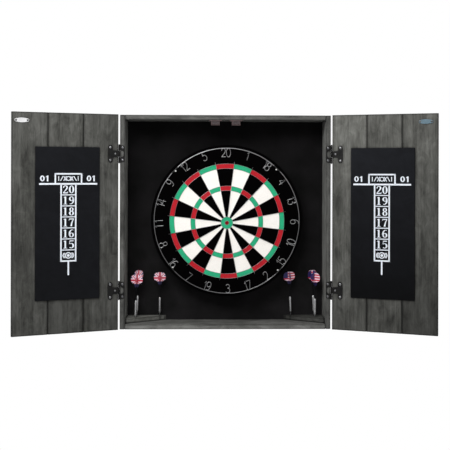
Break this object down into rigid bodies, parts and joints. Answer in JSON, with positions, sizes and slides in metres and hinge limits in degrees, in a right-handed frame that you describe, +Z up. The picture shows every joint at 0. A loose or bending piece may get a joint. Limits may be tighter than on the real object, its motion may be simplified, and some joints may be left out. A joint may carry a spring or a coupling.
{
  "type": "dartboard cabinet",
  "caption": "Wall-hung wooden cabinet with two plank doors carrying chalk scoreboards, a bristle dartboard with a lift-off number ring, and darts standing in corner holders.",
  "frame": {"origin": "centre of the cabinet's back plane, which lies against the wall", "axes": "+Z up, +Y into the wall, -Y towards the player, +X to the player's right"},
  "size_m": [1.1918, 0.2057, 0.622],
  "materials": {
    "weathered_wood": "weathered grey-brown planks, matt",
    "black_hardboard": "black painted hardboard",
    "raw_wood": "unfinished pine",
    "chalkboard": "matt chalkboard paint on hardboard, white printed score column",
    "black_iron": "satin black",
    "bright_steel": "zinc-plated",
    "brown_plastic": "moulded",
    "sisal": "compressed sisal fibre dyed in black, cream, red and green sectors",
    "black_band": "satin black steel strip",
    "grey_wire": "galvanised wire",
    "white_clip": "moulded",
    "silver_barrel": "nickel-plated, grooved grip",
    "printed_flight": "thin printed film"
  },
  "bodies": {
    "cabinet": {"top_panel": "weathered_wood", "bottom_panel": "weathered_wood", "left_panel": "weathered_wood", "right_panel": "weathered_wood", "back_panel": "black_hardboard", "upper_hanging_rail": "raw_wood", "lower_hanging_rail": "raw_wood", "centre_stile": "raw_wood", "board_bracket": "black_iron", "left_dart_holder": "weathered_wood", "right_dart_holder": "weathered_wood", "left_catch_case": "brown_plastic", "right_catch_case": "brown_plastic", "left_catch_magnet": "bright_steel", "right_catch_magnet": "bright_steel", "left_upper_frame_leaf": "black_iron", "left_lower_frame_leaf": "black_iron", "right_upper_frame_leaf": "black_iron", "right_lower_frame_leaf": "black_iron", "left_upper_hinge_pin": "black_iron", "left_lower_hinge_pin": "black_iron", "right_upper_hinge_pin": "black_iron", "right_lower_hinge_pin": "black_iron"},
    "dartboard": {"centre_screw": "bright_steel", "board_backing": "raw_wood", "sisal_face": "sisal", "board_band": "black_band", "spider_wires": "grey_wire", "bull_wire": "grey_wire", "top_left_ring_clip": "white_clip", "top_right_ring_clip": "white_clip", "bottom_left_ring_clip": "white_clip", "bottom_right_ring_clip": "white_clip"},
    "number_ring": {"number_ring": "grey_wire"},
    "left_door": {"left_door_hinge_plank": "weathered_wood", "left_door_middle_plank": "weathered_wood", "left_door_outer_plank": "weathered_wood", "left_chalkboard": "chalkboard", "left_strike_plate": "bright_steel", "left_upper_door_leaf": "black_iron", "left_lower_door_leaf": "black_iron"},
    "right_door": {"right_door_hinge_plank": "weathered_wood", "right_door_middle_plank": "weathered_wood", "right_door_outer_plank": "weathered_wood", "right_chalkboard": "chalkboard", "right_strike_plate": "bright_steel", "right_upper_door_leaf": "black_iron", "right_lower_door_leaf": "black_iron"},
    "left_front_dart": {"left_front_dart_barrel": "silver_barrel", "left_front_dart_flight": "printed_flight"},
    "left_rear_dart": {"left_rear_dart_barrel": "silver_barrel", "left_rear_dart_flight": "printed_flight"},
    "left_inner_dart": {"left_inner_dart_barrel": "silver_barrel", "left_inner_dart_flight": "printed_flight"},
    "right_front_dart": {"right_front_dart_barrel": "silver_barrel", "right_front_dart_flight": "printed_flight"},
    "right_rear_dart": {"right_rear_dart_barrel": "silver_barrel", "right_rear_dart_flight": "printed_flight"},
    "right_inner_dart": {"right_inner_dart_barrel": "silver_barrel", "right_inner_dart_flight": "printed_flight"}
  },
  "joints": [
    {"name": "left_door_hinge", "type": "hinge", "parent": "cabinet", "child": "left_door", "pos_m": [-0.3072, -0.10165, 0], "axis": [0, 0, -1], "range_deg": [-159.5, 20.5]},
    {"name": "right_door_hinge", "type": "hinge", "parent": "cabinet", "child": "right_door", "pos_m": [0.3072, -0.10165, 0], "axis": [0, 0, 1], "range_deg": [-159.5, 20.5]},
    {"name": "dartboard_turn", "type": "hinge", "parent": "cabinet", "child": "dartboard", "pos_m": [0.0041, -0.028, 0.0026], "axis": [0, -1, 0], "continuous": true},
    {"name": "number_ring_slide", "type": "slide", "parent": "dartboard", "child": "number_ring", "axis": [0, -1, 0], "range_m": [0, 0.015]},
    {"name": "left_front_dart_lift", "type": "slide", "parent": "cabinet", "child": "left_front_dart", "axis": [0.0401, 0, 0.9992], "range_m": [0, 0.045]},
    {"name": "left_rear_dart_lift", "type": "slide", "parent": "cabinet", "child": "left_rear_dart", "axis": [0.0471, 0, 0.9989], "range_m": [0, 0.045]},
    {"name": "left_inner_dart_lift", "type": "slide", "parent": "cabinet", "child": "left_inner_dart", "axis": [0.0087, -0.1219, 0.9925], "range_m": [0, 0.01]},
    {"name": "right_front_dart_lift", "type": "slide", "parent": "cabinet", "child": "right_front_dart", "axis": [0.0087, 0, 1], "range_m": [0, 0.045]},
    {"name": "right_rear_dart_lift", "type": "slide", "parent": "cabinet", "child": "right_rear_dart", "axis": [-0.0436, 0, 0.999], "range_m": [0, 0.045]},
    {"name": "right_inner_dart_lift", "type": "slide", "parent": "cabinet", "child": "right_inner_dart", "axis": [-0.0537, -0.1219, 0.9911], "range_m": [0, 0.01]}
  ]
}
